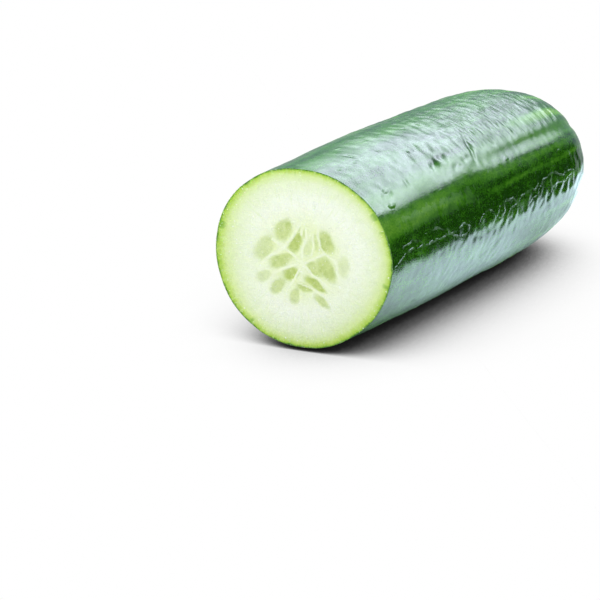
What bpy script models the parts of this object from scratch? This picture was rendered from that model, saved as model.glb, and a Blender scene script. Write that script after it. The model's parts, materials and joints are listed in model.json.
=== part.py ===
"""A cut length of cucumber, lying on its side on z = 0, in metres.

It runs along X: the knife cut is at -X and the blossom end at +X. The fruit grew as one piece, so
it is one solid: a turned body, made less regular by growth, then cut by the knife and pressed a
little flat where it lies. The origin is under its middle, on the surface that it lies on.
"""

import math

import bpy
from mathutils import Vector

NAME = "cucumber"

# Driving dimensions. A station is a distance along the fruit from the middle of the cut.
CUT_RADIUS = 0.0230
LENGTH = 0.1250
SWELL = 0.22                # radius = CUT_RADIUS * (1 + SWELL * u - TAPER * u * u), u = station / LENGTH
TAPER = 0.23
SHOULDER = 0.0410           # length of the rounded blossom end
SHOULDER_POWER = 2.7        # 2 is an ellipse, and more is blunter

# Growth, as shares of the radius
SIDE_DEPTH = 0.008          # three faint sides, one for each seed chamber
SIDE_TURN = math.radians(35)
RIB_COUNT = 10
RIB_DEPTH = 0.0035
WAVES = (                   # share of the radius, wavelength along X, waves around, phase
    (0.0060, 0.052, 2, 0.4),
    (0.0045, 0.034, 3, 2.1),
    (0.0030, 0.021, 5, 4.0),
)
BEND = 0.0010               # how far the middle bows towards +Y

# Blossom scar: a dimple with a corky button in it
DIMPLE_RADIUS = 0.0052
DIMPLE_DEPTH = 0.0011
BUTTON_RADIUS = 0.0019
BUTTON_HEIGHT = 0.0007
BUTTON_EDGE = 0.0006

# Knife cut and resting flat
CUT_YAW = math.radians(11.7)    # the blade stood upright, but not square to the fruit
OVERRUN = 0.0100                # how far the body is made past the cut
FLAT_DEPTH = 0.00035            # how far its weight presses the belly flat

# Mesh
SECTORS = 60
STATION_STEP = 0.0034
SHOULDER_RINGS = 12
SCAR_RADII = (0.0040, 0.0031, 0.0024, 0.0019, 0.0015, 0.0008)
MERGE_DISTANCE = 0.00001

SKIN = {"colour": (0.045, 0.150, 0.025, 1.0), "roughness": 0.32, "metallic": 0.0}


def clear_scene():
    for old in list(bpy.data.objects):
        bpy.data.objects.remove(old, do_unlink=True)


def new_collection(name):
    collection = bpy.data.collections.new(name)
    bpy.context.scene.collection.children.link(collection)
    return collection


def skin_material():
    material = bpy.data.materials.new("skin")
    material.use_nodes = True
    shader = material.node_tree.nodes["Principled BSDF"]
    shader.inputs["Base Color"].default_value = SKIN["colour"]
    shader.inputs["Roughness"].default_value = SKIN["roughness"]
    shader.inputs["Metallic"].default_value = SKIN["metallic"]
    material.diffuse_color = SKIN["colour"]
    return material


def body_radius(station):
    share = station / LENGTH
    return CUT_RADIUS * (1 + SWELL * share - TAPER * share * share)


def smooth_step(value):
    value = min(max(value, 0.0), 1.0)
    return value * value * (3 - 2 * value)


def scar_depth(radius):
    """How far the skin is sunk at the blossom scar. The button stands up in the dimple."""
    dimple = 0.0
    if radius < DIMPLE_RADIUS:
        dimple = DIMPLE_DEPTH * 0.5 * (1 + math.cos(math.pi * radius / DIMPLE_RADIUS))
    button = BUTTON_HEIGHT * smooth_step((BUTTON_RADIUS - radius) / BUTTON_EDGE)
    return dimple - button


def side_profile():
    """(station, radius) from the flat end of the overrun to where the blossom end starts."""
    end = LENGTH - SHOULDER
    steps = round((end + OVERRUN) / STATION_STEP)
    stations = [-OVERRUN + (end + OVERRUN) * i / steps for i in range(steps + 1)]
    return [(-OVERRUN, 0.0)] + [(station, body_radius(station)) for station in stations]


def shoulder_profile():
    """(station, radius) round the blossom end, a superellipse, as far as the dimple."""
    start = LENGTH - SHOULDER
    power = 2 / SHOULDER_POWER
    points = []
    for i in range(1, SHOULDER_RINGS):
        turn = 0.5 * math.pi * i / SHOULDER_RINGS
        station = start + SHOULDER * math.sin(turn) ** power
        radius = body_radius(station) * math.cos(turn) ** power
        if radius > DIMPLE_RADIUS:
            points.append((station, radius))
    return points


def scar_profile():
    """(station, radius) from the dimple's edge to the middle of the scar."""
    tip_radius = body_radius(LENGTH)
    points = []
    for radius in (DIMPLE_RADIUS, *SCAR_RADII, 0.0):
        reach = (1 - (radius / tip_radius) ** SHOULDER_POWER) ** (1 / SHOULDER_POWER)
        points.append((LENGTH - SHOULDER + SHOULDER * reach - scar_depth(radius), radius))
    return points


def turned_mesh(points):
    """The profile turned round X, as a plain mesh."""
    profile = bpy.data.meshes.new("profile")
    edges = [(i, i + 1) for i in range(len(points) - 1)]
    profile.from_pydata([(station, radius, 0.0) for station, radius in points], edges, [])
    turned = bpy.data.objects.new("turned", profile)
    bpy.context.scene.collection.objects.link(turned)

    screw = turned.modifiers.new("turn", "SCREW")
    screw.axis = "X"
    screw.angle = 2 * math.pi
    screw.steps = SECTORS
    screw.render_steps = SECTORS
    screw.use_merge_vertices = True
    screw.merge_threshold = MERGE_DISTANCE

    bpy.context.view_layer.update()
    evaluated = turned.evaluated_get(bpy.context.evaluated_depsgraph_get())
    mesh = bpy.data.meshes.new_from_object(evaluated)
    bpy.data.objects.remove(turned, do_unlink=True)
    return mesh


def bow(station):
    share = station / LENGTH
    return BEND * 4 * share * (1 - share)


def grown(point):
    """A point of the turned body, moved by the fruit's sides, ribs, slow swellings and bend."""
    station, y, z = point
    around = math.atan2(z, y)
    growth = 1 + SIDE_DEPTH * math.cos(3 * (around - SIDE_TURN))
    growth += RIB_DEPTH * math.cos(RIB_COUNT * around)
    for depth, wavelength, waves, phase in WAVES:
        along = 2 * math.pi * station / wavelength
        growth += depth * math.sin(along + phase) * math.cos(waves * around + phase)
    return Vector((station, y * growth + bow(station), z * growth))


def fruit_body(collection):
    mesh = turned_mesh(side_profile() + shoulder_profile() + scar_profile())
    mesh.name = NAME
    for vertex in mesh.vertices:
        vertex.co = grown(vertex.co)
    mesh.shade_smooth()
    mesh.materials.clear()
    mesh.materials.append(skin_material())
    fruit = bpy.data.objects.new(NAME, mesh)
    collection.objects.link(fruit)
    return fruit


def cut_off(part, collection, name, middle, direction, size):
    """Cuts off all that lies past a plane through middle, in that direction, with a cube."""
    bpy.ops.mesh.primitive_cube_add(size=size)
    cutter = bpy.context.object
    cutter.name = name
    cutter.rotation_mode = "QUATERNION"
    cutter.rotation_quaternion = direction.to_track_quat("X", "Z")
    cutter.location = middle + direction * (size / 2)
    cutter.hide_render = True
    cutter.display_type = "WIRE"
    for holder in list(cutter.users_collection):
        holder.objects.unlink(cutter)
    collection.objects.link(cutter)

    modifier = part.modifiers.new(name, "BOOLEAN")
    modifier.operation = "DIFFERENCE"
    modifier.solver = "EXACT"
    modifier.object = cutter
    return cutter


def settle(part, *cutters):
    """Stands the finished part's box on the origin, by an empty that carries it and its cutters."""
    bpy.context.view_layer.update()
    finished = part.evaluated_get(bpy.context.evaluated_depsgraph_get())
    columns = list(zip(*(vertex.co for vertex in finished.data.vertices)))
    middle_x, middle_y = [(min(column) + max(column)) / 2 for column in columns[:2]]

    rest = bpy.data.objects.new("rest", None)
    bpy.context.scene.collection.objects.link(rest)
    rest.location = (-middle_x, -middle_y, -min(columns[2]))
    for carried in (part, *cutters):
        carried.parent = rest


def build():
    clear_scene()
    fruit_collection = new_collection(NAME)
    cutter_collection = new_collection("cutters")
    fruit = fruit_body(fruit_collection)

    cut_direction = Vector((-math.cos(CUT_YAW), -math.sin(CUT_YAW), 0.0))
    knife = cut_off(fruit, cutter_collection, "knife", Vector(), cut_direction, 4 * CUT_RADIUS)

    belly = min(vertex.co.z for vertex in fruit.data.vertices)
    flat_middle = Vector((LENGTH / 2, 0.0, belly + FLAT_DEPTH))
    table = cut_off(fruit, cutter_collection, "table", flat_middle, Vector((0, 0, -1)), 2 * LENGTH)

    settle(fruit, knife, table)


build()
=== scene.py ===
import json
import math

import bpy
import numpy as np
from mathutils import Matrix, Vector, noise
from mathutils.bvhtree import BVHTree


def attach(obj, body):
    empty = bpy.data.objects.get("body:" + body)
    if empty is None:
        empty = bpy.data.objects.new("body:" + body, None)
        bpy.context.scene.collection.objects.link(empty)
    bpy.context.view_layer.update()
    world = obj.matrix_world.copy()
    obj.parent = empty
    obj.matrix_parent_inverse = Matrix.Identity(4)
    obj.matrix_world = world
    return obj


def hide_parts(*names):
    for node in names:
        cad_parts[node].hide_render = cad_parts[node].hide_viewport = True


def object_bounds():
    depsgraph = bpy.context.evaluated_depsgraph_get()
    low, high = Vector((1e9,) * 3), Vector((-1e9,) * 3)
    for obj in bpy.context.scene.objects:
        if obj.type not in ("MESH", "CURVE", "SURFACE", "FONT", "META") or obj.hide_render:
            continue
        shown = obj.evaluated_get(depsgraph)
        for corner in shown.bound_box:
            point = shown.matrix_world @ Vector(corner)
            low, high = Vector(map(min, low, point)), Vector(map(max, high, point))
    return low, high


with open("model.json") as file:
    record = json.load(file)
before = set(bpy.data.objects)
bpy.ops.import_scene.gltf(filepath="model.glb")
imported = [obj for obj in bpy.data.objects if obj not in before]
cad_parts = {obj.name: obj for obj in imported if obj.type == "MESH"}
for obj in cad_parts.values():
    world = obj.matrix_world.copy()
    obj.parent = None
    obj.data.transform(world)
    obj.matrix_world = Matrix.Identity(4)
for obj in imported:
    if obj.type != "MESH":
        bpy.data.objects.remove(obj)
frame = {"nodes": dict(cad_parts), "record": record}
cadLow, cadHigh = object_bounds()
mm = 0.001


def smoothStep(low, high, value):
    share = np.clip((value - low) / (high - low), 0.0, 1.0)
    return share * share * (3 - 2 * share)


def within(value, begin, full, fading, end):
    return smoothStep(begin, full, value) * smoothStep(end, fading, value)


def hill(value, middle, halfWidth):
    return np.exp(-(((value - middle) / halfWidth) ** 2))


def turnedFrom(angles, direction):
    # degrees, -180 to 180
    return (angles - direction + 180) % 360 - 180


def noiseField(points, seed):
    # Perlin noise, about -1 to 1, at every row of an (n, 3) array
    moved = points + np.array((1.7, 9.2, 4.4)) * (seed + 0.37)
    return np.array([noise.noise(Vector(p)) for p in moved])


def mountNamed(name):
    for mount in frame["record"]["mounts"]:
        if mount["name"] == name:
            return Vector(mount["pos_m"]), Vector(mount["axis"]).normalized()
    raise ValueError("no mount named " + name)


cutMiddle, cutNormal = mountNamed("cut_face")
cutRight = Vector((0, 0, 1)).cross(cutNormal).normalized()  # to the right for someone who faces the cut
cutUp = cutNormal.cross(cutRight)

# The skin is read from the CAD solid on rows of rays, and smoothed. Angles run from the top
# towards -Y, and stations along the fruit from the cut.
skinGrid = {
    "aroundSteps": 284,
    "step": 0.5 * mm,
    "capReach": 24 * mm,  # past here the rays fan out from one point, to close the blossom end
    "rayStart": 100 * mm,  # the rays come from outside: a point on the axis can lie past the cut
    "firstRay": 8 * mm,  # past the cut's middle, where each line's radius is read to find its edge
    "insideCut": 0.5 * mm,  # rays keep this far from the edge
    "smoothing": 1.9 * mm,
    "scarSmoothing": 0.35 * mm,
    "scarColumns": 2,  # smoothing around the scar, in columns of rays
    "scarReach": 7 * mm,
    "meanRadius": 24 * mm,
}


def castSkin():
    node = frame["nodes"]["cucumber"]
    tree = BVHTree.FromPolygons([v.co for v in node.data.vertices],
                                [p.vertices for p in node.data.polygons])
    count = skinGrid["aroundSteps"]
    turns = np.arange(count) * 2 * math.pi / count
    capStart = cadHigh.x - skinGrid["capReach"]
    bodyRows = round((capStart - cutMiddle.x) / skinGrid["step"])
    capRows = round(skinGrid["capReach"] * math.pi / 2 / skinGrid["step"])

    def reach(origin, direction):
        hit = tree.ray_cast(origin + direction * skinGrid["rayStart"], -direction)
        return skinGrid["rayStart"] - hit[3]

    points = np.zeros((bodyRows + capRows + 1, count, 3))
    for j, turn in enumerate(turns):
        out = Vector((0, -math.sin(turn), math.cos(turn)))
        radius = reach(cutMiddle + Vector((skinGrid["firstRay"], 0, 0)), out)
        edge = cutMiddle.x - radius * out.dot(cutNormal) / cutNormal.x  # this line meets the cut there
        for i in range(bodyRows + 1):
            x = edge + (capStart - edge) * i / bodyRows
            onAxis = Vector((x, cutMiddle.y, cutMiddle.z))
            insideCut = Vector((max(x, edge + skinGrid["insideCut"]), cutMiddle.y, cutMiddle.z))
            points[i, j] = onAxis + out * reach(insideCut, out)
        for k in range(1, capRows + 1):
            lean = math.pi / 2 * k / capRows
            ray = Vector((math.sin(lean), 0, 0)) + out * math.cos(lean)
            points[bodyRows + k, j] = onAxis + ray * reach(onAxis, ray)
    return turns, points


def bell(sigma):
    reach = max(1, int(math.ceil(3 * sigma)))
    weights = np.exp(-0.5 * (np.arange(-reach, reach + 1) / sigma) ** 2)
    return weights / weights.sum(), reach


def smoothedAround(points, sigma):
    weights, reach = bell(sigma)
    return sum(w * np.roll(points, k, axis=1) for w, k in zip(weights, range(-reach, reach + 1)))


def smoothedAlong(points, sigma):
    weights, reach = bell(sigma)
    before = 2 * points[:1] - points[reach:0:-1]  # mirrored in the cut's edge
    after = np.roll(points[-2:-2 - reach:-1], points.shape[1] // 2, axis=1)  # over the pole
    padded = np.concatenate([before, points, after])
    return sum(w * padded[k:k + len(points)] for k, w in enumerate(weights))


def smoothSkin(points):
    step = skinGrid["step"]
    sigma = skinGrid["smoothing"] / step
    body = smoothedAlong(smoothedAround(points, sigma), sigma)
    scar = smoothedAround(points, skinGrid["scarColumns"])
    scar = smoothedAlong(scar, skinGrid["scarSmoothing"] / step)
    toPole = (len(points) - 1 - np.arange(len(points))) * step
    keep = smoothStep(skinGrid["scarReach"] / 2, skinGrid["scarReach"], toPole)[:, None, None]
    return body * keep + scar * (1 - keep)


def surfaceNormals(points):
    over = np.roll(points[-2:-1], points.shape[1] // 2, axis=1)
    padded = np.concatenate([2 * points[:1] - points[1:2], points, over])
    along = padded[2:] - padded[:-2]
    around = np.roll(points, -1, axis=1) - np.roll(points, 1, axis=1)
    normals = np.cross(around, along)
    normals[-1] = (1, 0, 0)
    return normals / np.linalg.norm(normals, axis=2, keepdims=True)


turns, castPoints = castSkin()
skinPoints = smoothSkin(castPoints)
rowCount, aroundCount = skinPoints.shape[:2]
station = np.concatenate([
    np.zeros((1, aroundCount)),
    np.cumsum(np.linalg.norm(np.diff(skinPoints, axis=0), axis=2), axis=0),
]) + (skinPoints[:1, :, 0] - cutMiddle.x)
turn = np.broadcast_to(turns, (rowCount, aroundCount))
degrees = turnedFrom(np.degrees(turn), 0)
fromTip = station.max() - station
# station and angle laid out without a seam: a cylinder of the fruit's mean radius
rollPlace = np.stack([
    station,
    -np.sin(turn) * skinGrid["meanRadius"],
    np.cos(turn) * skinGrid["meanRadius"],
], axis=2)
print("skin read from the CAD solid:", rowCount, "rows of", aroundCount)


def rolledNoise(along, around, seed):
    # noise that follows the fruit, drawn out along it
    scaledPlace = rollPlace / np.array([along, around, around])
    return noiseField(scaledPlace.reshape(-1, 3), seed).reshape(rowCount, aroundCount)


def solidNoise(size, seed):
    return noiseField(skinPoints.reshape(-1, 3) / size, seed).reshape(rowCount, aroundCount)


# heights in metres, out from the smooth skin
relief = {
    "ribs": (0.050 * mm, 70 * mm, 5.0 * mm),  # height, and size along and around the fruit
    "wideRibs": (0.13 * mm, 60 * mm, 14.0 * mm),
    "lumps": (0.10 * mm, 12 * mm),  # height and size
    "mottles": (0.190 * mm, 2.3 * mm, 2.9 * mm),
    "knobs": (0.055 * mm, 1.4 * mm),
    "calm": (15 * mm, 62 * mm, 0.22),  # mottles and knobs grow between these stations
    "calmSide": (40, 47, 66, 84, 0.30),  # from this share, and are low between these angles
    "tipClear": (2 * mm, 16 * mm),  # long shapes fade out this far from the tip
    "tipClearSmall": (0, 6 * mm),  # and round ones here
    # long low grooves (and ridges, where the depth is below 0): angle and half width in degrees, and in
    # millimetres the depth and the stations where each starts, is full, fades and ends
    "grooves": [
        (50.6, 4.2, 0.36, 44, 76, 118, 124),
        (20, 7.0, 0.16, 38, 60, 96, 112),
        (66, 2.6, -0.12, 6, 14, 30, 46),
        (67, 6.0, -0.33, 50, 64, 106, 120),
    ],
    # fuller round the blossom end: height, distance from the tip and reach, and more of it on one side
    "shoulder": (0.35 * mm, 20 * mm, 18 * mm),
    "shoulderSide": (0.65 * mm, 112, 48),
    "puckers": {"count": 11, "uneven": 1.1, "height": 0.22 * mm, "middle": 7.5 * mm, "reach": 5.2 * mm},
    "scar": {
        "radius": 2.5 * mm,
        "floor": 0.6,  # share of the radius that lies at full depth
        "sink": 0.45 * mm,
        "rim": 0.28 * mm,
        "rimAt": 1.2,  # share of the radius where the rim is highest
        "rimWidth": 0.8 * mm,
        "ragged": (0.5 * mm, 1.6 * mm),  # how far its edge strays, and over what length
        "crumble": (0.16 * mm, 0.9 * mm),  # height and size
    },
    # creases and dimples: station, angle, length, width, heading from the long axis and depth, in
    # millimetres and degrees
    "dents": [
        (55.5, 40, 8.6, 1.25, 116, 0.25),
        (60.0, 30, 3.6, 1.6, 120, 0.07),
        (51, 45, 5.0, 1.5, 175, 0.22),
        (37, 40, 3.6, 1.8, 160, 0.28),
        (42, 37, 3.6, 1.4, 172, 0.18),
        (45, 47, 4.2, 1.5, 170, 0.20),
        (12, 46, 4.4, 1.4, 172, 0.17),
        (9, 51, 2.4, 1.2, 70, 0.04),
        (22, 44, 2.6, 1.2, 100, 0.12),
        (16, 8, 3.6, 1.2, 65, 0.12),
        (25, 16, 3.2, 1.2, 20, 0.09),
        (62, 9, 3.2, 1.3, 60, 0.12),
        (84, 12, 4.2, 1.3, 75, 0.14),
        (28, -70, 4.4, 1.4, 70, 0.14),
        (66, -110, 3.6, 1.3, 30, 0.14),
        (90, -45, 3.8, 1.3, 85, 0.14),
        (48, 150, 3.4, 1.3, 60, 0.12),
    ],
    "bellyClear": (0.1 * mm, 1.2 * mm),  # no relief this low, where the fruit lies
}


def dentDepth(dent):
    middle, angle, length, width, heading, depth = dent
    along = station - middle * mm
    across = turnedFrom(degrees, angle) * math.radians(1) * skinGrid["meanRadius"]
    c, s = math.cos(math.radians(heading)), math.sin(math.radians(heading))
    lengthwise = (along * c + across * s) / (length * mm / 2)
    widthwise = (across * c - along * s) / (width * mm / 2)
    return depth * mm * np.exp(-(lengthwise ** 4) - widthwise ** 2)


def skinRelief():
    clearOfTip = smoothStep(*relief["tipClear"], fromTip)
    closeToTip = smoothStep(*relief["tipClearSmall"], fromTip)
    height, along, around = relief["ribs"]
    total = height * rolledNoise(along, around, 1) * clearOfTip
    height, along, around = relief["wideRibs"]
    total += height * rolledNoise(along, around, 2) * clearOfTip
    height, size = relief["lumps"]
    total += height * solidNoise(size, 3) * closeToTip

    first, last, calmShare = relief["calm"]
    lively = calmShare + (1 - calmShare) * smoothStep(first, last, station)
    *angles, calmShare = relief["calmSide"]
    lively *= 1 - (1 - calmShare) * within(degrees, *angles)
    height, along, around = relief["mottles"]
    total += height * rolledNoise(along, around, 4) * lively * clearOfTip
    height, size = relief["knobs"]
    total += height * solidNoise(size, 5) * lively * closeToTip

    for angle, halfWidth, depth, *stations in relief["grooves"]:
        grown = within(station, *[place * mm for place in stations]) * clearOfTip
        total -= depth * mm * grown * hill(degrees, angle, halfWidth)

    height, middle, reach = relief["shoulder"]
    sideHeight, angle, halfWidth = relief["shoulderSide"]
    total += (height + sideHeight * hill(degrees, angle, halfWidth)) * hill(fromTip, middle, reach)

    puckers = relief["puckers"]
    wave = np.cos(puckers["count"] * turn + puckers["uneven"] * np.sin(2 * turn)) - 1
    total += puckers["height"] / 2 * wave * hill(fromTip, puckers["middle"], puckers["reach"])
    for dent in relief["dents"]:
        total -= dentDepth(dent)

    scar = relief["scar"]
    height, size = scar["ragged"]
    ragged = fromTip + height * solidNoise(size, 6)
    inside = smoothStep(scar["radius"], scar["radius"] * scar["floor"], ragged)
    total += scar["rim"] * hill(ragged, scar["radius"] * scar["rimAt"], scar["rimWidth"])
    height, size = scar["crumble"]
    total += inside * (height * solidNoise(size, 7) - scar["sink"])
    return total


skinHeight = skinRelief() * smoothStep(*relief["bellyClear"], skinPoints[:, :, 2])
skinPoints = skinPoints + surfaceNormals(skinPoints) * skinHeight[:, :, None]
skinPoints[:, :, 2] = np.maximum(skinPoints[:, :, 2], cadLow.z)
offCut = (skinPoints[0] - np.array(cutMiddle)) @ np.array(cutNormal)
skinPoints[0, :, 0] -= offCut / cutNormal.x  # back on to the plane of the cut
print("skin relief: %.2f to %.2f mm" % (skinHeight.min() / mm, skinHeight.max() / mm))


cutFace = {
    "rindStep": 0.22 * mm,  # rings of faces: fine in the rind and over the seeds
    "rindReach": 2.4 * mm,
    "fleshStep": 0.50 * mm,
    "coreStep": 0.34 * mm,
    "coreRadius": 14.0 * mm,
    "sharpAngle": 50,  # in degrees: crisp where the knife left the skin
    "seedSink": 0.10 * mm,
    "dish": (0.15 * mm, 24),  # how deep its middle is, and its reach in millimetres
    "uneven": (0.04 * mm, 2.5),  # height, and size in millimetres
    "rimClear": 1.2 * mm,  # all three end this close to the skin
    # directions in degrees from the right, half widths, and how much further in the green reaches; the
    # entry at -38 degrees, on the lower right, is painted shade
    "greenSidesAndPaintedShade": [(182, 42, 0.70), (-38, 34, 0.50), (60, 30, -0.12)],
    "wander": (0.40, 1.9),  # how far the seeds' outlines stray, and over what length, in millimetres
    "wallWander": 0.6,  # share of that for the walls
    # seed cells, in millimetres: middle (right and up), half length, half width, heading in degrees
    # from the right, and how strongly the pulp shows
    "seedCells": [
        (-4.9, 7.0, 3.5, 2.35, 52, 0.72),
        (-3.9, 8.2, 1.5, 1.0, 40, 0.85),
        (-10.0, 1.7, 4.2, 2.5, 60, 0.52),
        (-1.7, 4.0, 3.3, 1.7, 62, 0.95),
        (0.7, 6.6, 1.8, 0.5, 76, 0.65),
        (-0.9, 7.0, 1.3, 0.4, 72, 0.45),
        (1.7, 3.0, 2.8, 1.4, 76, 0.34),
        (3.6, 4.6, 2.7, 0.6, 97, 0.50),
        (6.2, 4.9, 3.5, 2.1, 112, 0.80),
        (10.8, -0.8, 3.2, 1.7, 88, 0.36),
        (-5.7, -1.1, 3.8, 1.8, 28, 0.75),
        (6.5, -2.1, 3.8, 2.4, -54, 0.82),
        (3.4, -2.4, 3.2, 1.7, -34, 0.66),
        (-2.9, -4.2, 2.6, 1.7, 25, 0.95),
        (3.5, -6.2, 3.8, 1.1, -32, 0.98),
        (0.6, -7.4, 2.4, 1.2, -14, 0.82),
        (5.3, -10.5, 2.6, 1.1, -40, 0.70),
        (-6.4, -7.6, 3.0, 1.7, 46, 0.66),
        (-10.2, -5.6, 2.6, 1.5, 32, 0.48),
        (-1.9, -9.8, 2.5, 1.4, 78, 0.60),
    ],
    "cellTaper": 0.25,  # narrower at one end
    "cellEdge": (1.14, 0.58),  # shares of its size where a cell begins and is full
    # the pale walls between them: points of each line, and its half width
    "seedWalls": [
        ([(-0.6, 9.0), (-2.4, 5.6), (-4.3, 2.9), (-7.6, 0.4), (-12.0, -3.2)], 0.42),
        ([(-7.8, 4.0), (-6.0, 3.0), (-4.3, 2.9)], 0.34),
        ([(-3.9, 1.5), (-1.8, 0.5), (0.1, -1.3)], 0.34),
        ([(-7.4, -4.6), (-3.8, -2.5), (-1.1, -1.7), (0.1, -1.3)], 0.32),
        ([(0.1, -1.3), (2.6, -3.7), (5.6, -5.6), (8.6, -7.6)], 0.30),
        ([(-0.5, -2.4), (-2.2, -5.6), (-4.0, -8.4), (-4.6, -11.0)], 0.28),
        ([(3.9, 8.2), (4.5, 4.4), (5.6, 2.0), (8.8, 0.4), (9.4, -3.4)], 0.28),
        ([(0.8, -1.0), (2.8, 0.1), (5.4, 1.7)], 0.34),
        ([(1.0, 8.0), (0.9, 5.0), (-0.2, 1.6), (0.1, -1.3)], 0.28),
        ([(2.8, 6.6), (2.9, 3.4), (2.4, 1.0)], 0.20),
        ([(-0.2, 7.3), (-0.3, 5.9)], 0.30),
        ([(-0.9, -6.4), (3.2, -7.5), (5.6, -8.9)], 0.22),
    ],
    "wallEdge": (1.5, 0.5),  # shares of that where a wall begins and is full
}


def pulpAt(right, up):
    # how much seed pulp shows at each place on the cut, 0 to 1
    shown = np.zeros_like(right)
    for middleRight, middleUp, halfLength, halfWidth, heading, strength in cutFace["seedCells"]:
        c, s = math.cos(math.radians(heading)), math.sin(math.radians(heading))
        dx, dy = right - middleRight, up - middleUp
        lengthwise = (dx * c + dy * s) / halfLength
        widthwise = (dy * c - dx * s) / halfWidth * (1 + cutFace["cellTaper"] * lengthwise)
        apart = np.hypot(lengthwise, widthwise)
        shown = np.maximum(shown, strength * smoothStep(*cutFace["cellEdge"], apart))
    return shown


def lineDistance(right, up, first, last):
    a, b = np.array(first), np.array(last)
    d = b - a
    share = np.clip(((right - a[0]) * d[0] + (up - a[1]) * d[1]) / (d @ d), 0, 1)
    return np.hypot(right - a[0] - share * d[0], up - a[1] - share * d[1])


def wallAt(right, up):
    shown = np.zeros_like(right)
    outer, inner = cutFace["wallEdge"]
    for line, halfWidth in cutFace["seedWalls"]:
        for first, last in zip(line, line[1:]):
            apart = lineDistance(right, up, first, last)
            shown = np.maximum(shown, smoothStep(halfWidth * outer, halfWidth * inner, apart))
    return shown


rim = skinPoints[0]
rimSpan = np.linalg.norm(rim - np.array(cutMiddle), axis=1)
rimRadius = float(rimSpan.mean())
ringDepths = np.concatenate([
    np.arange(cutFace["rindStep"], cutFace["rindReach"], cutFace["rindStep"]),
    np.arange(cutFace["rindReach"], rimRadius - cutFace["coreRadius"], cutFace["fleshStep"]),
    np.arange(rimRadius - cutFace["coreRadius"], rimRadius - cutFace["coreStep"] / 2, cutFace["coreStep"]),
])
ringShares = 1 - ringDepths / rimRadius
facePoints = np.array(cutMiddle) + (rim[None] - np.array(cutMiddle)) * ringShares[:, None, None]
faceRight = (facePoints - np.array(cutMiddle)) @ np.array(cutRight) / mm
faceUp = (facePoints - np.array(cutMiddle)) @ np.array(cutUp) / mm


def greenReachAndPaintedShade():
    # how much further in the green of the rind reaches on some sides of the cut; on the lower right this
    # is painted shade
    around = np.degrees(np.arctan2(faceUp, faceRight))
    more = np.ones_like(around)
    for direction, halfWidth, share in cutFace["greenSidesAndPaintedShade"]:
        more += share * hill(turnedFrom(around, direction), 0, halfWidth)
    return more


rindDepth = rimSpan[None] * (1 - ringShares[:, None])  # distance in from the skin
greenDepthAndPaintedShade = rindDepth / greenReachAndPaintedShade()


def faceNoise(size, seed):
    flat = np.stack([faceRight, faceUp, np.zeros_like(faceUp)], axis=2).reshape(-1, 3)
    return noiseField(flat / size, seed).reshape(faceRight.shape)


stray, strayLength = cutFace["wander"]
strayRight = faceNoise(strayLength, 11) * stray
strayUp = faceNoise(strayLength, 12) * stray
wallShare = cutFace["wallWander"]
wall = wallAt(faceRight + strayRight * wallShare, faceUp + strayUp * wallShare)
pulp = pulpAt(faceRight + strayRight, faceUp + strayUp) * (1 - wall)


def faceRelief():
    depth, reach = cutFace["dish"]
    height = -cutFace["seedSink"] * pulp
    height -= depth * (1 - (np.hypot(faceRight, faceUp) / reach) ** 2).clip(0, 1)
    unevenness, size = cutFace["uneven"]
    height += unevenness * faceNoise(size, 13)
    return height * smoothStep(0, cutFace["rimClear"], rindDepth)


faceHeight = faceRelief()
facePoints = facePoints + np.array(cutNormal) * faceHeight[:, :, None]
print("cut face:", len(ringShares), "rings,", len(cutFace["seedCells"]), "seed cells")


column = np.arange(aroundCount)
nextColumn = (column + 1) % aroundCount


def joinRows(first, second):
    corners = [first + column, second + column, second + nextColumn, first + nextColumn]
    return np.stack(corners, axis=1)


def closeRow(row, point, outward):
    tip = np.full(aroundCount, point)
    first, last = (column, nextColumn) if outward else (nextColumn, column)
    return np.stack([row + first, tip, row + last], axis=1)


def buildFruit():
    # skin rows, the point at the blossom end, the rings of the cut, the point at its middle
    skinRows = rowCount - 1
    tipIndex = skinRows * aroundCount
    faceStart = tipIndex + 1
    middleIndex = faceStart + len(facePoints) * aroundCount
    middle = np.array(cutMiddle) + np.array(cutNormal) * faceHeight[-1].mean()
    vertices = np.concatenate([
        skinPoints[:-1].reshape(-1, 3),
        skinPoints[-1].mean(axis=0)[None],
        facePoints.reshape(-1, 3),
        middle[None],
    ])
    skinQuads = [joinRows(i * aroundCount, (i + 1) * aroundCount) for i in range(skinRows - 1)]
    ringStarts = [0] + [faceStart + k * aroundCount for k in range(len(facePoints))]
    faceQuads = [joinRows(inner, outer) for outer, inner in zip(ringStarts, ringStarts[1:])]
    skinPolygons = np.concatenate(skinQuads).tolist()
    skinPolygons += closeRow((skinRows - 1) * aroundCount, tipIndex, True).tolist()
    facePolygons = np.concatenate(faceQuads).tolist()
    facePolygons += closeRow(ringStarts[-1], middleIndex, False).tolist()

    mesh = bpy.data.meshes.new("cucumberLength")
    mesh.from_pydata(vertices.tolist(), [], skinPolygons + facePolygons)
    slots = [0] * len(skinPolygons) + [1] * len(facePolygons)
    mesh.polygons.foreach_set("material_index", slots)
    mesh.shade_smooth()
    mesh.set_sharp_from_angle(angle=math.radians(cutFace["sharpAngle"]))
    return mesh


def addAttribute(mesh, name, skinValues, faceValues):
    # the last row of the skin and of the cut closes to one point each
    parts = [skinValues[:-1], skinValues[-1:].mean(axis=1, keepdims=True),
             faceValues, faceValues[-1:].mean(axis=1, keepdims=True)]
    if skinValues.ndim == 3:
        layer = mesh.attributes.new(name, "FLOAT_VECTOR", "POINT")
        values = np.concatenate([part.reshape(-1, 3) for part in parts])
        layer.data.foreach_set("vector", values.astype(np.float32).ravel())
    else:
        layer = mesh.attributes.new(name, "FLOAT", "POINT")
        values = np.concatenate([part.ravel() for part in parts])
        layer.data.foreach_set("value", values.astype(np.float32))


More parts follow.
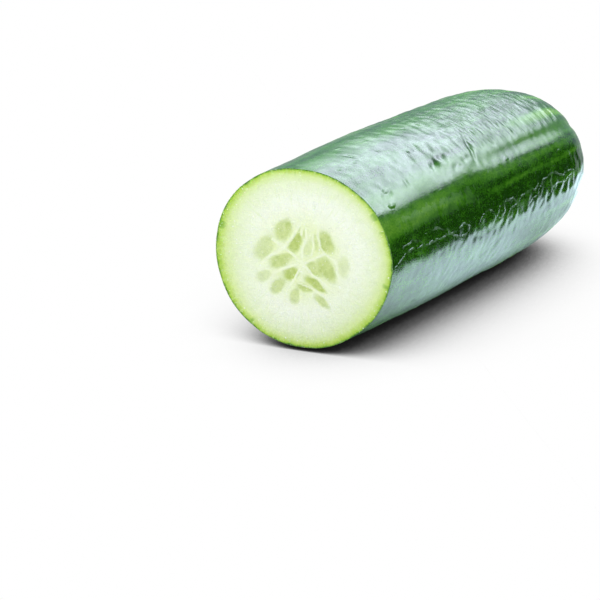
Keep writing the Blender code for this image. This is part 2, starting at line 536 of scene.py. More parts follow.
marks = {
    # where the skin is pale, partly real stripes and partly painted sheen: the stripes at 63 and 67.5
    # degrees, full near the cut, are a painted hazy reflection along the side. Stripes grow from the
    # blossom end: angle, half width in degrees, strength, and the stations in millimetres where each
    # starts and is full
    "paleStripesAndPaintedSheen": [
        (28, 30, 0.05, -20, -10),
        (48, 8, 0.27, -20, -10),
        (63, 6.0, 0.44, 55, 25),
        (60, 3.0, 0.22, 20, 50),
        (67.5, 4.0, 0.44, 54, 34),
        (36, 4.0, 0.62, 70, 102),
        (54, 2.6, 0.30, 50, 90),
        (70, 1.8, 0.30, 45, 70),
        (18, 2.6, 0.45, 84, 110),
        (2, 2.2, 0.35, 84, 112),
        (-14, 2.4, 0.40, 70, 108),
        (-33, 3.0, 0.60, 40, 92),
        (-52, 2.2, 0.50, 66, 104),
        (-74, 3.4, 0.65, 20, 84),
        (-98, 2.3, 0.50, 60, 100),
        (-118, 3.0, 0.60, 36, 92),
        (-142, 2.6, 0.55, 54, 100),
        (-165, 3.2, 0.60, 26, 86),
        (172, 2.4, 0.45, 60, 100),
        (151, 3.0, 0.60, 40, 90),
        (128, 2.4, 0.50, 64, 104),
        (106, 2.0, 0.40, 74, 106),
        (86, 2.2, 0.30, 80, 106),
    ],
    "tipFade": (1 * mm, 11 * mm),  # they fade and end this far from the tip
    "sway": (2.2, 26 * mm, 9 * mm),  # how far they wander in degrees, and size along and around
    "tipGlow": (0.30, 4 * mm),  # paler at the tip, and how far
    "base": 0.10,
    "streaks": (0.12, 22 * mm, 1.6 * mm),  # strength, and size along and around
    "clouds": (0.08, 9 * mm, 5 * mm),
    # darker stripes: angle, half width, strength, and the distances from the tip where each starts
    # and is full
    "darkStripes": [(77, 8, 0.08, -2, -1), (19, 10, 0.07, 0, 10)],
    # fine lines round the fruit: a patch on the upper side towards the blossom end and a few others,
    # with the stations and angles where each begins, is full, fades and ends
    "hatchAlong": (46 * mm, 66 * mm, 96 * mm, 112 * mm),
    "hatchAround": (-16, 2, 41, 47),
    "hatchElsewhere": (0.3, 30 * mm, 12 * mm),  # strength, and size along and around
    "hatchElsewhereEdge": (0.15, 0.45),
    "hatchElsewhereClear": (105, 30, 60),  # none of those round this angle
    # on the upper side, where the highlight falls, the colour is evened: this share of the patchy colour
    # is taken out there
    "highlightEvenShare": 0.55,
    "highlightEvenAround": (-44, -24, 50, 58),
    "highlightEvenTip": (4 * mm, 20 * mm),
    # where the wax is worn off: on top, past the middle, and in a band along the side near the cut
    "wornTop": (-24, -6, 20, 32),
    "wornTopFrom": (30 * mm, 58 * mm),
    "wornSide": (59, 64, 70, 77),
    "wornSideAlong": (6 * mm, 16 * mm, 42 * mm, 56 * mm),
    "wornSideShare": 2.0,
    # thin raised lines along one side, as (station in millimetres, angle) points
    "crazeLines": [
        [(6, 89.6), (11, 83), (15, 82.5), (20, 84.4), (25, 85), (31, 84.6), (36, 84),
         (40, 82.5), (43, 87), (40, 91)],
        [(10, 79.3), (15, 77.7), (18, 80), (20, 84.4)],
        [(21, 77.7), (26, 77), (31, 81), (33, 85), (37, 89.6), (41, 90.5)],
        [(47, 87), (49, 82.5), (52, 81), (54.5, 84), (56, 90)],
        [(56.5, 89), (57.5, 82.5), (60, 81), (60.5, 87), (59, 91), (56.5, 89)],
        [(60, 81), (65, 81), (68, 85.7), (70, 82.5), (74, 81), (78, 83), (80, 80)],
        [(68, 91.5), (68, 85.7), (64, 87), (62, 92)],
        [(79, 90.5), (80, 84), (83, 78.6), (88, 76.7), (92, 79.3),
         (95, 82.5), (98, 80.5), (102, 82)],
        [(74, 92), (76, 88), (80, 86.5)],
        [(86, 92), (88, 87), (92, 85.7), (96, 87.3), (100, 84), (101, 90.5)],
        [(88, 87), (87, 82), (88, 76.7)],
    ],
    "crazeStray": (0.5, 2.2 * mm),  # how far they stray in millimetres, and over what length
    "crazeReach": 3.0,
    # patches of more such lines on the other sides: size along and around, and none round this angle
    "crazePatches": (24 * mm, 10 * mm),
    "crazePatchEdge": (0.20, 0.50),
    "crazeClear": (40, 75),
}


def palenessAndPaintedSheen():
    # real pale stripes, with the painted sheen stripes near the cut among them
    shown = np.zeros((rowCount, aroundCount))
    reach, along, around = marks["sway"]
    sway = rolledNoise(along, around, 21) * reach
    for angle, halfWidth, strength, start, full in marks["paleStripesAndPaintedSheen"]:
        grown = smoothStep(start * mm, full * mm, station)
        stripe = strength * grown * hill(turnedFrom(degrees + sway, angle), 0, halfWidth)
        shown = np.maximum(shown, stripe)
    glow, reach = marks["tipGlow"]
    shown = shown * smoothStep(*marks["tipFade"], fromTip) + glow * hill(fromTip, reach, reach)
    for name, seed in (("streaks", 22), ("clouds", 23)):
        strength, along, around = marks[name]
        shown = shown + strength * rolledNoise(along, around, seed)
    dark = np.zeros((rowCount, aroundCount))
    for angle, halfWidth, strength, start, full in marks["darkStripes"]:
        dark += strength * hill(degrees, angle, halfWidth) * smoothStep(start * mm, full * mm, fromTip)
    return np.clip(shown + marks["base"] - dark, 0, 1)


def hatching():
    patch = within(station, *marks["hatchAlong"]) * within(degrees, *marks["hatchAround"])
    share, along, around = marks["hatchElsewhere"]
    others = share * smoothStep(*marks["hatchElsewhereEdge"], rolledNoise(along, around, 31))
    angle, none, full = marks["hatchElsewhereClear"]
    return np.maximum(patch, others * smoothStep(none, full, np.abs(degrees - angle)))


def patchiness():
    # less patchy colour where the highlight falls
    underHighlight = within(degrees, *marks["highlightEvenAround"]) * smoothStep(*marks["highlightEvenTip"], fromTip)
    return 1 - marks["highlightEvenShare"] * underHighlight


def wear():
    top = within(degrees, *marks["wornTop"]) * smoothStep(*marks["wornTopFrom"], station)
    side = within(degrees, *marks["wornSide"]) * within(station, *marks["wornSideAlong"])
    return np.maximum(top, marks["wornSideShare"] * side)


def crazeDistance():
    # how far each place is from the nearest craze line, in millimetres
    perDegree = math.radians(1) * skinGrid["meanRadius"] / mm
    reach, size = marks["crazeStray"]
    along = station / mm + reach * rolledNoise(size, size, 33)
    across = degrees * perDegree + reach * rolledNoise(size, size, 34)
    nearest = np.full(station.shape, marks["crazeReach"])
    for line in marks["crazeLines"]:
        points = [(s, angle * perDegree) for s, angle in line]
        for first, last in zip(points, points[1:]):
            nearest = np.minimum(nearest, lineDistance(along, across, first, last))
    return nearest


def crazing():
    along, around = marks["crazePatches"]
    angle, clear = marks["crazeClear"]
    patches = smoothStep(*marks["crazePatchEdge"], rolledNoise(along, around, 32))
    return patches * (np.abs(degrees - angle) > clear)


fruitMesh = buildFruit()
onFace = np.zeros(facePoints.shape[:2])
onSkin = np.zeros((rowCount, aroundCount))
facePlace = np.broadcast_to(rollPlace[:1], facePoints.shape).copy()
facePlace[:, :, 0] = -rindDepth
addAttribute(fruitMesh, "rollPlace", rollPlace, facePlace)
addAttribute(fruitMesh, "fromTip", fromTip, onFace + fromTip.max())
addAttribute(fruitMesh, "crazeDistance", crazeDistance(), onFace + marks["crazeReach"])
for name, values in (("palenessAndPaintedSheen", palenessAndPaintedSheen()), ("patchiness", patchiness()), ("hatching", hatching()),
                     ("crazing", crazing()), ("wear", wear())):
    addAttribute(fruitMesh, name, values, onFace)
for name, values in (("rindDepth", rindDepth), ("greenDepthAndPaintedShade", greenDepthAndPaintedShade), ("pulp", pulp), ("wall", wall)):
    addAttribute(fruitMesh, name, onSkin, values)
print("fruit mesh:", len(fruitMesh.polygons), "faces,",
      sum(len(p.vertices) - 2 for p in fruitMesh.polygons), "triangles")


def newMaterial(name):
    material = bpy.data.materials.new(name)
    material.use_nodes = True
    return material, material.node_tree, material.node_tree.nodes["Principled BSDF"]


def setValues(node, values):
    for socket, value in values.items():
        node.inputs[socket].default_value = value


def attribute(tree, name, output="Fac"):
    node = tree.nodes.new("ShaderNodeAttribute")
    node.attribute_name = name
    return node.outputs[output]


def objectPlace(tree):
    return tree.nodes.new("ShaderNodeTexCoord").outputs["Object"]


def scaled(tree, vector, scale):
    node = tree.nodes.new("ShaderNodeVectorMath")
    node.operation = "MULTIPLY"
    tree.links.new(vector, node.inputs[0])
    node.inputs[1].default_value = scale
    return node.outputs["Vector"]


def noiseOf(tree, vector, scale, detail, roughness, distortion=0.0, stretch=None):
    node = tree.nodes.new("ShaderNodeTexNoise")
    tree.links.new(scaled(tree, vector, stretch) if stretch else vector, node.inputs["Vector"])
    setValues(node, {"Scale": scale, "Detail": detail, "Roughness": roughness, "Distortion": distortion})
    return node.outputs["Fac"]


def ramp(tree, value, stops):
    node = tree.nodes.new("ShaderNodeValToRGB")
    elements = node.color_ramp.elements
    while len(elements) < len(stops):
        elements.new(0.5)
    for element, (position, colour) in zip(elements, stops):
        element.position = position
        element.color = (*colour, 1.0)
    tree.links.new(value, node.inputs["Fac"])
    return node.outputs["Color"]


def mapped(tree, value, fromLow, fromHigh, toLow, toHigh, smooth=False):
    node = tree.nodes.new("ShaderNodeMapRange")
    node.interpolation_type = "SMOOTHSTEP" if smooth else "LINEAR"
    node.clamp = True
    tree.links.new(value, node.inputs["Value"])
    setValues(node, {"From Min": fromLow, "From Max": fromHigh, "To Min": toLow, "To Max": toHigh})
    return node.outputs["Result"]


def maths(tree, operation, *values):
    node = tree.nodes.new("ShaderNodeMath")
    node.operation = operation
    for socket, value in zip(node.inputs, values):
        if isinstance(value, (int, float)):
            socket.default_value = value
        else:
            tree.links.new(value, socket)
    return node.outputs["Value"]


def addUp(tree, *terms):
    # the sum of (share, value) pairs
    total = 0.0
    for share, value in terms:
        total = maths(tree, "MULTIPLY_ADD", value, share, total)
    return total


def times(tree, first, second):
    return maths(tree, "MULTIPLY", first, second)


def centred(tree, value):
    return maths(tree, "SUBTRACT", value, 0.5)


def mixed(tree, share, first, second):
    node = tree.nodes.new("ShaderNodeMix")
    node.data_type = "RGBA"
    for index, value in ((0, share), (6, first), (7, second)):
        socket = node.inputs[index]
        if isinstance(value, (int, float)):
            socket.default_value = value
        elif isinstance(value, tuple):
            socket.default_value = (*value, 1.0)
        else:
            tree.links.new(value, socket)
    return node.outputs[2]


def bumpFrom(tree, height, distance):
    node = tree.nodes.new("ShaderNodeBump")
    node.inputs["Distance"].default_value = distance
    tree.links.new(height, node.inputs["Height"])
    return node.outputs["Normal"]


# A noise is given as its scale, detail, roughness, distortion and stretch, and an edge as the values
# where it begins and is full.
skin = {
    # colours from the darkest skin to the palest stripe
    "tones": [
        (0.00, (0.009, 0.055, 0.001)),
        (0.16, (0.029, 0.140, 0.003)),
        (0.38, (0.075, 0.260, 0.010)),
        (0.65, (0.160, 0.390, 0.025)),
        (1.00, (0.340, 0.500, 0.080)),
    ],
    # what makes the tone patchy, with the share of each
    "mottle": (260, 3.0, 0.55),
    "mottleShare": 0.45,
    "flecks": (1100, 2.0, 0.65, 0.0, (0.45, 1, 1)),
    "fleckShare": 0.40,
    "grain": (2300, 1.0, 0.5),
    "grainShare": 0.60,
    # a pale colour on the raised craze lines, a painted highlight where they catch the light, and how much
    # of it shows
    "paintedCrazeHighlight": (0.270, 0.420, 0.220),
    "paintedCrazeHighlightShare": 0.34,
    "crazeRagged": (900, 2.0, 0.6),
    "crazeWidth": (-0.10, 0.14, 0.45),  # millimetres where a line is full and ends, and how ragged
    "crazeBreaks": (330, 1.0, 0.5),
    "crazeBreakEdge": (0.36, 0.56, 0.15),  # and what is left of a line in a break
    "crazeSlow": (80, 3.0, 0.60, 0.5, (1, 1.5, 1.5)),
    "crazeSlowWidth": 0.016,
    "scar": (0.420, 0.320, 0.150),
    "darkScar": (0.130, 0.085, 0.035),
    "scarCracks": (1500, 2.0, 0.6),
    "scarCrackEdge": (0.38, 0.56),
    "scarRagged": (600, 2.0, 0.6),
    "scarEdge": (1.4 * mm, 2.2 * mm, 1.6 * mm),  # where it is full and ends, and how ragged
    "scarRoughness": 0.75,
    "roughness": (0.13, 0.25),
    "haze": (420, 2.0, 0.5),
    "hazeEdge": (0.3, 0.7),
    "dullRoughness": 0.35,
    "blotches": (330, 4.0, 0.65, 0.4, (1.25, 0.75, 0.75)),
    "blotchEdge": (0.64, 0.72),
    "wearShare": 0.13,
    # the fine bumps, with their heights in millimetres
    "hatch": (1750, 1.0, 0.5, 0.0, (1, 0.12, 0.12)),
    "hatchEverywhere": 0.06,  # share of the hatching outside its patches
    "hatchHeight": 0.130,
    "crazeHeight": 0.090,
    "pitScale": 316,
    "pitStretch": (0.55, 1, 1),
    "pitEdge": (0.08, 0.30),
    "pitChoice": (0.62, 0.72),
    "pitDepth": 0.120,
    "pores": (2600, 1.0, 0.5),
    "poreHeight": 0.020,
}


def scarShown(tree, body):
    inner, outer, stray = skin["scarEdge"]
    ragged = noiseOf(tree, body, *skin["scarRagged"])
    ragged = maths(tree, "MULTIPLY_ADD", ragged, -stray, attribute(tree, "fromTip"))
    return mapped(tree, ragged, inner, outer, 1, 0, True)


def skinColour(tree, place, body, lines, scar):
    flecks = noiseOf(tree, place, *skin["flecks"])
    mottle = noiseOf(tree, body, *skin["mottle"])
    grain = noiseOf(tree, body, *skin["grain"])
    patchy = addUp(tree, (skin["mottleShare"], centred(tree, mottle)),
                   (skin["fleckShare"], centred(tree, flecks)),
                   (skin["grainShare"], centred(tree, grain)))
    # the paleness holds the painted sheen along the side as well as the real pale stripes
    tone = maths(tree, "MULTIPLY_ADD", patchy, attribute(tree, "patchiness"), attribute(tree, "palenessAndPaintedSheen"))
    colour = ramp(tree, tone, skin["tones"])
    # the craze lines are painted pale as well as raised: a painted highlight along them
    paintedCrazeHighlight = times(tree, lines, skin["paintedCrazeHighlightShare"])
    colour = mixed(tree, paintedCrazeHighlight, colour, skin["paintedCrazeHighlight"])
    cracks = noiseOf(tree, body, *skin["scarCracks"])
    cracks = mapped(tree, cracks, *skin["scarCrackEdge"], 0, 1)
    return mixed(tree, scar, colour, mixed(tree, cracks, skin["darkScar"], skin["scar"]))


def crazeShown(tree, place):
    # the listed lines, and those along which a slow noise passes its middle value
    inner, outer, stray = skin["crazeWidth"]
    ragged = noiseOf(tree, place, *skin["crazeRagged"])
    apart = maths(tree, "MULTIPLY_ADD", ragged, -stray, attribute(tree, "crazeDistance"))
    broken = noiseOf(tree, place, *skin["crazeBreaks"])
    broken = mapped(tree, broken, *skin["crazeBreakEdge"], 1.0)
    drawn = times(tree, mapped(tree, apart, inner, outer, 1, 0, True), broken)
    slow = noiseOf(tree, place, *skin["crazeSlow"])
    offMiddle = maths(tree, "ABSOLUTE", centred(tree, slow))
    line = mapped(tree, offMiddle, 0.0, skin["crazeSlowWidth"], 1, 0)
    return maths(tree, "MAXIMUM", drawn, times(tree, line, attribute(tree, "crazing")))


def dullPatches(tree, place):
    # blotches a few millimetres across, where the wax has worn off
    blotches = noiseOf(tree, place, *skin["blotches"])
    level = maths(tree, "MULTIPLY_ADD", attribute(tree, "wear"), skin["wearShare"], blotches)
    return mapped(tree, level, *skin["blotchEdge"], 0, 1, True)


def pits(tree, place):
    # short dimples drawn out along the fruit, in one cell of a few
    cells = tree.nodes.new("ShaderNodeTexVoronoi")
    cells.inputs["Scale"].default_value = skin["pitScale"]
    tree.links.new(scaled(tree, place, skin["pitStretch"]), cells.inputs["Vector"])
    dimple = mapped(tree, cells.outputs["Distance"], *skin["pitEdge"], 1.0, 0.0)
    chosen = mapped(tree, cells.outputs["Color"], *skin["pitChoice"], 0.0, 1.0)
    return times(tree, dimple, chosen)


def skinMaterial():
    material, tree, shader = newMaterial("waxySkin")
    place = attribute(tree, "rollPlace", "Vector")
    body = objectPlace(tree)
    lines = crazeShown(tree, place)
    scar = scarShown(tree, body)
    tree.links.new(skinColour(tree, place, body, lines, scar), shader.inputs["Base Color"])
    haze = noiseOf(tree, body, *skin["haze"])
    gloss = mapped(tree, haze, *skin["hazeEdge"], *skin["roughness"])
    rest = maths(tree, "SUBTRACT", skin["dullRoughness"], gloss)
    gloss = maths(tree, "MULTIPLY_ADD", dullPatches(tree, place), rest, gloss)
    gloss = maths(tree, "MULTIPLY_ADD", scar, skin["scarRoughness"], gloss)
    tree.links.new(maths(tree, "MINIMUM", gloss, skin["scarRoughness"]), shader.inputs["Roughness"])

    hatch = noiseOf(tree, place, *skin["hatch"])
    least = skin["hatchEverywhere"]
    shown = maths(tree, "MULTIPLY_ADD", attribute(tree, "hatching"), 1 - least, least)
    hatch = times(tree, hatch, shown)
    pores = noiseOf(tree, body, *skin["pores"])
    height = addUp(tree, (skin["hatchHeight"], hatch), (skin["crazeHeight"], lines),
                   (-skin["pitDepth"], pits(tree, place)), (skin["poreHeight"], pores))
    tree.links.new(bumpFrom(tree, height, mm), shader.inputs["Normal"])
    return material


flesh = {
    "core": (0.760, 0.860, 0.380),
    "pulp": (0.590, 0.690, 0.215),
    "darkPulp": (0.440, 0.560, 0.110),
    "wall": (0.890, 0.950, 0.660),
    "fibre": (0.700, 0.840, 0.400),
    # near-white specks on the cut: painted glints of wet sparkle
    "paintedGlint": (0.980, 1.000, 0.930),
    "vein": (0.200, 0.420, 0.030),
    "roughness": (0.20, 0.42),
    "haze": (500, 2.0, 0.5),
    "hazeEdge": (0.35, 0.65),
    "shader": {
        "Coat Weight": 0.35,
        "Coat Roughness": 0.12,
        "Subsurface Weight": 0.25,
        "Subsurface Radius": (1.0, 0.9, 0.45),
        "Subsurface Scale": 2.5 * mm,
    },
    "unevenness": (420, 3.0, 0.6),
    "unevenDepth": 0.9 * mm,
    "greenFades": 1.2 * mm,  # past this depth every side is as green as the others
    "coreDepth": (9 * mm, 15.5 * mm, 0, 0.75),
    "clouds": (300, 2.0, 0.5),
    "cloudEdge": (0.3, 0.7, 0.55, 1.0),
    "fibres": (1300, 2.0, 0.6, 0.0, (0.22, 1, 1)),
    "fibreEdge": (0.52, 0.72),
    "fibreDepth": (12 * mm, 8 * mm, 0, 0.35),
    "veins": (330, 1.0, 0.5, 0.0, (0.5, 1, 1)),
    "veinEdge": (0.66, 0.72, 0, 0.8),
    "veinDepth": (2.2 * mm, 0.8 * mm),
    "wallShare": 0.85,
    "pulpGrain": (900, 3.0, 0.6),
    "pulpGrainEdge": (0.35, 0.65),
    "paintedGlintNoise": (2100, 1.0, 0.5),
    "paintedGlintEdge": (0.68, 0.76, 0, 0.7),
    # the fine bumps, with their heights in millimetres
    "soft": (700, 2.0, 0.5),
    "softHeight": 0.10,
    "cells": (2600, 2.0, 0.6),
    "cellHeight": 0.10,
    # colour at each depth in from the skin, in millimetres
    "rind": [
        (0.00, (0.030, 0.110, 0.004)),
        (0.22, (0.130, 0.320, 0.012)),
        (0.45, (0.390, 0.590, 0.050)),
        (0.90, (0.545, 0.715, 0.150)),
        (1.60, (0.700, 0.820, 0.340)),
        (3.40, (0.815, 0.885, 0.580)),
        (7.00, (0.900, 0.945, 0.735)),
        (9.50, (0.925, 0.960, 0.770)),
    ],
}


def fleshColour(tree, place, body):
    depth = attribute(tree, "rindDepth")
    uneven = centred(tree, noiseOf(tree, body, *flesh["unevenness"]))
    reach = flesh["rind"][-1][0]
    nearSkin = mapped(tree, depth, 0, flesh["greenFades"], 1, 0)
    # the green depth holds painted shade on the lower right of the cut
    green = mixed(tree, nearSkin, attribute(tree, "greenDepthAndPaintedShade"), depth)
    inwards = addUp(tree, (1.0, green), (flesh["unevenDepth"], uneven))
    inwards = mapped(tree, inwards, 0, reach * mm, 0, 1)
    colour = ramp(tree, inwards, [(position / reach, tint) for position, tint in flesh["rind"]])

    core = mapped(tree, depth, *flesh["coreDepth"])
    cloudy = mapped(tree, noiseOf(tree, body, *flesh["clouds"]), *flesh["cloudEdge"])
    colour = mixed(tree, times(tree, core, cloudy), colour, flesh["core"])

    fibres = noiseOf(tree, place, *flesh["fibres"])
    outer = mapped(tree, depth, *flesh["fibreDepth"])
    shown = times(tree, mapped(tree, fibres, *flesh["fibreEdge"], 0, 1), outer)
    colour = mixed(tree, shown, colour, flesh["fibre"])

    # small veins that reach in from the skin
    veins = noiseOf(tree, place, *flesh["veins"])
    spots = mapped(tree, veins, *flesh["veinEdge"])
    rindOnly = mapped(tree, depth, *flesh["veinDepth"], 0, 1)
    colour = mixed(tree, times(tree, spots, rindOnly), colour, flesh["vein"])

    walls = times(tree, attribute(tree, "wall"), flesh["wallShare"])
    colour = mixed(tree, walls, colour, flesh["wall"])
    grain = noiseOf(tree, body, *flesh["pulpGrain"])
    grain = mapped(tree, grain, *flesh["pulpGrainEdge"], 0, 1)
    pulpTint = mixed(tree, grain, flesh["pulp"], flesh["darkPulp"])
    colour = mixed(tree, attribute(tree, "pulp"), colour, pulpTint)
    # painted glints: near-white specks mixed into the colour of the cut
    paintedGlint = mapped(tree, noiseOf(tree, body, *flesh["paintedGlintNoise"]), *flesh["paintedGlintEdge"])
    return mixed(tree, paintedGlint, colour, flesh["paintedGlint"])


def fleshMaterial():
    material, tree, shader = newMaterial("wetFlesh")
    place = attribute(tree, "rollPlace", "Vector")
    body = objectPlace(tree)
    tree.links.new(fleshColour(tree, place, body), shader.inputs["Base Color"])
    haze = noiseOf(tree, body, *flesh["haze"])
    gloss = mapped(tree, haze, *flesh["hazeEdge"], *flesh["roughness"])
    tree.links.new(gloss, shader.inputs["Roughness"])
    height = addUp(tree, (flesh["softHeight"], noiseOf(tree, body, *flesh["soft"])),
                   (flesh["cellHeight"], noiseOf(tree, body, *flesh["cells"])))
    tree.links.new(bumpFrom(tree, height, mm), shader.inputs["Normal"])
    setValues(shader, flesh["shader"])
    return material


fruitMesh.materials.append(skinMaterial())
fruitMesh.materials.append(fleshMaterial())
fruit = bpy.data.objects.new("cucumberLength", fruitMesh)
bpy.context.scene.collection.objects.link(fruit)
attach(fruit, "root")
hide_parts("cucumber")
print("materials made")


studio = {
    "floorSize": 16.0,
    # a painted contact shadow on the glowing floor, darker where the fruit hides the sky from it: open
    # share, brightness
    "contactShadow": [(0.13, 0.008), (0.20, 0.026), (0.25, 0.080), (0.33, 0.24), (0.41, 0.42),
                      (0.48, 0.62), (0.56, 0.76), (0.66, 0.915), (0.80, 1.0)],
    "contactReach": 0.30,
    "contactSamples": 16,
    "contactInGloss": 0.8,  # a power: lighter in the fruit's gloss
    "bounceColour": (0.36, 0.36, 0.36),  # what the floor throws back on the fruit
    "poolGloss": (2.6, 3.3, 3.8),  # how bright the floor shows in the fruit's gloss, close by
    "farGloss": (0.44, 0.51, 0.53),  # and away from it
    "poolAlong": (-0.070, 0.000, 0.110, 0.170),  # where the bright part begins, is full, fades, ends
    "poolAcross": (0.050, 0.075),  # and how far out it fades and ends
    # beside the blossom end it dims close to the fruit: where that begins, is full, fades and ends,
    # how far out it reaches, and what share is left
    "dimAlong": (0.020, 0.052, 0.080, 0.110),
    "dimAcross": (0.016, 0.040),
    "dimShare": 0.25,
    "poolBehind": 0.35,  # share of the pool on the +Y side
    "behindEdge": (-0.005, 0.005),
    "worldColour": (0.76, 0.94, 1.26),
    "worldStrength": 0.40,
    "cardFrom": 0.020,  # the black card, from the middle of the cut
    "cardTo": 0.270,
    "cardOut": 0.0455,
    "cardTurn": 0.7,  # degrees, its far end towards the fruit
    "cardHeight": 0.060,
    "cardFinish": {"Base Color": (0.002, 0.002, 0.002, 1), "Roughness": 1.0, "Specular IOR Level": 0.0},
    # name, place in metres from the middle of the fruit, size, power, colour
    "softboxes": [
        ("backSoftbox", (1.37, 0.10, 0.86), (2.20, 0.66), 71.0, (0.83, 0.90, 1.05)),
        ("topSoftbox", (0.10, 0.75, 1.00), (0.80, 0.80), 23.0, (1.0, 0.99, 0.95)),
        ("frontFill", (-0.80, 0.30, 0.50), (0.50, 0.50), 5.9, (1.0, 0.99, 0.94)),
    ],
    # brightness across the back softbox, and from its foot to its top
    "backAcross": [(0.03, 1.0), (0.14, 0.72), (0.23, 0.68), (0.45, 0.66), (0.54, 0.60), (0.67, 0.46),
                   (0.83, 0.38), (0.99, 0.28)],
    "backUp": [(0.0, 0.27), (0.30, 0.31), (0.50, 0.82), (0.62, 1.0), (0.74, 0.66), (1.0, 0.56)],
}

cameraView = {
    "lens": 120,  # in millimetres, as the sensor is
    "sensor": 36,
    "clipEnd": 20,
    "heading": 34.1,  # degrees from +X towards +Y
    "pitch": 19.0,  # degrees down
    "distance": 0.4876,
    "aimRight": -0.0005,  # the middle of the view, from the middle of the cut
    "aimUp": -0.0100,
}


def greys(levels):
    return [(share, (level,) * 3) for share, level in levels]


def bandOf(tree, value, begin, full, fading, end, most=1.0):
    # grows from begin to full, and fades to end
    grown = mapped(tree, value, begin, full, 0, most, True)
    return times(tree, grown, mapped(tree, value, fading, end, 1, 0, True))


def makeFloor():
    bpy.ops.mesh.primitive_plane_add(size=studio["floorSize"], location=(0, 0, cadLow.z))
    floor = bpy.context.object
    floor.name = "studioFloor"
    material, tree, shader = newMaterial("paleFloor")
    tree.nodes.remove(shader)

    # the floor glows instead of being lit: white to the camera with a painted contact shadow, and a
    # painted bright pool in the fruit's gloss
    hidden = tree.nodes.new("ShaderNodeAmbientOcclusion")
    hidden.samples = studio["contactSamples"]
    hidden.inputs["Distance"].default_value = studio["contactReach"]
    lit = ramp(tree, hidden.outputs["AO"], greys(studio["contactShadow"]))

    # in gloss the floor shows as a painted bright pool of light along the fruit
    place = tree.nodes.new("ShaderNodeSeparateXYZ")
    tree.links.new(objectPlace(tree), place.inputs[0])
    pool = bandOf(tree, place.outputs["X"], *studio["poolAlong"])
    out = maths(tree, "ABSOLUTE", place.outputs["Y"])
    pool = times(tree, pool, mapped(tree, out, *studio["poolAcross"], 1, 0, True))
    dim = bandOf(tree, place.outputs["X"], *studio["dimAlong"], 1 - studio["dimShare"])
    dim = times(tree, dim, mapped(tree, out, *studio["dimAcross"], 1, 0, True))
    pool = times(tree, pool, maths(tree, "SUBTRACT", 1.0, dim))
    behind = mapped(tree, place.outputs["Y"], *studio["behindEdge"], 1, studio["poolBehind"], True)
    pool = times(tree, pool, behind)
    shine = mixed(tree, pool, studio["farGloss"], studio["poolGloss"])

    glow = tree.nodes.new("ShaderNodeEmission")
    path = tree.nodes.new("ShaderNodeLightPath")
    glossy = path.outputs["Is Glossy Ray"]
    tree.links.new(mixed(tree, glossy, (1.0, 1.0, 1.0), shine), glow.inputs["Color"])
    softened = times(tree, maths(tree, "POWER", lit, studio["contactInGloss"]), glossy)
    tree.links.new(maths(tree, "MAXIMUM", lit, softened), glow.inputs["Strength"])
    bounce = tree.nodes.new("ShaderNodeBsdfDiffuse")
    setValues(bounce, {"Color": (*studio["bounceColour"], 1)})
    both = tree.nodes.new("ShaderNodeMixShader")
    tree.links.new(path.outputs["Is Diffuse Ray"], both.inputs["Fac"])
    tree.links.new(glow.outputs["Emission"], both.inputs[1])
    tree.links.new(bounce.outputs["BSDF"], both.inputs[2])
    tree.links.new(both.outputs["Shader"], tree.nodes["Material Output"].inputs["Surface"])
    floor.data.materials.append(material)


def makeCard():
    # a black card beside the fruit, seen only in its gloss, for a dark reflection along the side
    bpy.ops.mesh.primitive_plane_add(size=1.0)
    card = bpy.context.object
    card.name = "blackCard"
    card.scale = (studio["cardTo"] - studio["cardFrom"], studio["cardHeight"], 1)
    card.rotation_euler = (math.radians(90), 0, math.radians(studio["cardTurn"]))
    card.location = (cutMiddle.x + (studio["cardFrom"] + studio["cardTo"]) / 2,
                     cutMiddle.y - studio["cardOut"], cadLow.z + studio["cardHeight"] / 2)
    material, tree, shader = newMaterial("blackCard")
    setValues(shader, studio["cardFinish"])
    card.data.materials.append(material)
    card.visible_camera = False
    card.visible_diffuse = False
    card.visible_shadow = False
    card.visible_transmission = False


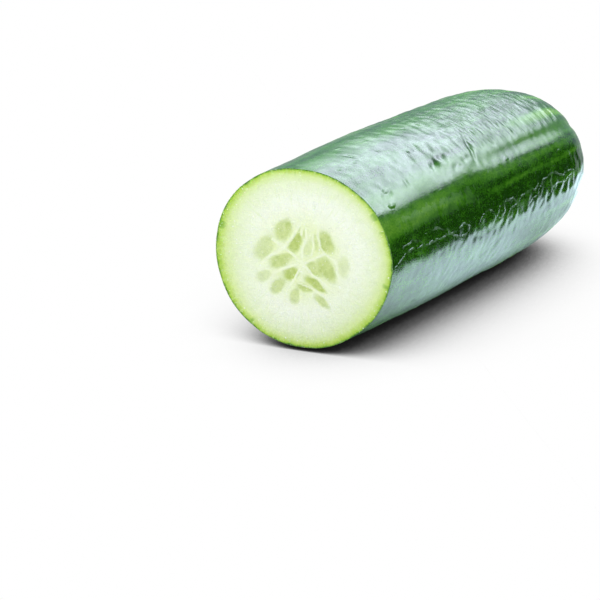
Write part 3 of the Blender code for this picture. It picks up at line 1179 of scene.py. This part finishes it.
def makeSoftboxes():
    middle = (cadLow + cadHigh) / 2
    for name, place, size, power, colour in studio["softboxes"]:
        light = bpy.data.lights.new(name, "AREA")
        light.shape = "RECTANGLE"
        light.size, light.size_y = size
        light.energy = power
        light.color = colour
        lamp = bpy.data.objects.new(name, light)
        bpy.context.scene.collection.objects.link(lamp)
        lamp.location = middle + Vector(place)
        lamp.rotation_mode = "QUATERNION"
        lamp.rotation_quaternion = (middle - lamp.location).to_track_quat("-Z", "Y")
        lamp.visible_camera = False
        if name == "backSoftbox":
            fadeLight(light)


def fadeLight(light):
    light.use_nodes = True
    tree = light.node_tree
    place = tree.nodes.new("ShaderNodeSeparateXYZ")
    tree.links.new(tree.nodes.new("ShaderNodeNewGeometry").outputs["Parametric"], place.inputs[0])
    across = ramp(tree, place.outputs["X"], greys(studio["backAcross"]))
    up = ramp(tree, place.outputs["Y"], greys(studio["backUp"]))
    both = tree.nodes.new("ShaderNodeVectorMath")
    both.operation = "MULTIPLY"
    tree.links.new(across, both.inputs[0])
    tree.links.new(up, both.inputs[1])
    tree.links.new(both.outputs["Vector"], tree.nodes["Emission"].inputs["Color"])


def makeWorld():
    world = bpy.data.worlds.new("paleStudio")
    bpy.context.scene.world = world
    world.use_nodes = True
    tree = world.node_tree
    background = tree.nodes["Background"]
    path = tree.nodes.new("ShaderNodeLightPath")
    sky = tuple(level * studio["worldStrength"] for level in studio["worldColour"])
    shown = mixed(tree, path.outputs["Is Camera Ray"], sky, (1.0, 1.0, 1.0))  # as pale as the floor
    tree.links.new(shown, background.inputs["Color"])


def makeCamera():
    heading = math.radians(cameraView["heading"])
    pitch = math.radians(cameraView["pitch"])
    level = math.cos(pitch)
    ahead = Vector((math.cos(heading) * level, math.sin(heading) * level, -math.sin(pitch)))
    right = Vector((math.sin(heading), -math.cos(heading), 0))
    up = right.cross(ahead)
    data = bpy.data.cameras.new("camera")
    data.lens = cameraView["lens"]
    data.sensor_width = cameraView["sensor"]
    data.clip_end = cameraView["clipEnd"]
    camera = bpy.data.objects.new("camera", data)
    bpy.context.scene.collection.objects.link(camera)
    aim = cutMiddle + right * cameraView["aimRight"] + up * cameraView["aimUp"]
    camera.location = aim - ahead * cameraView["distance"]
    camera.rotation_mode = "QUATERNION"
    camera.rotation_quaternion = Matrix((right, up, -ahead)).transposed().to_quaternion()
    bpy.context.scene.camera = camera


makeFloor()
makeCard()
makeSoftboxes()
makeWorld()
makeCamera()
bpy.context.scene.view_settings.view_transform = "Standard"
print("studio made")
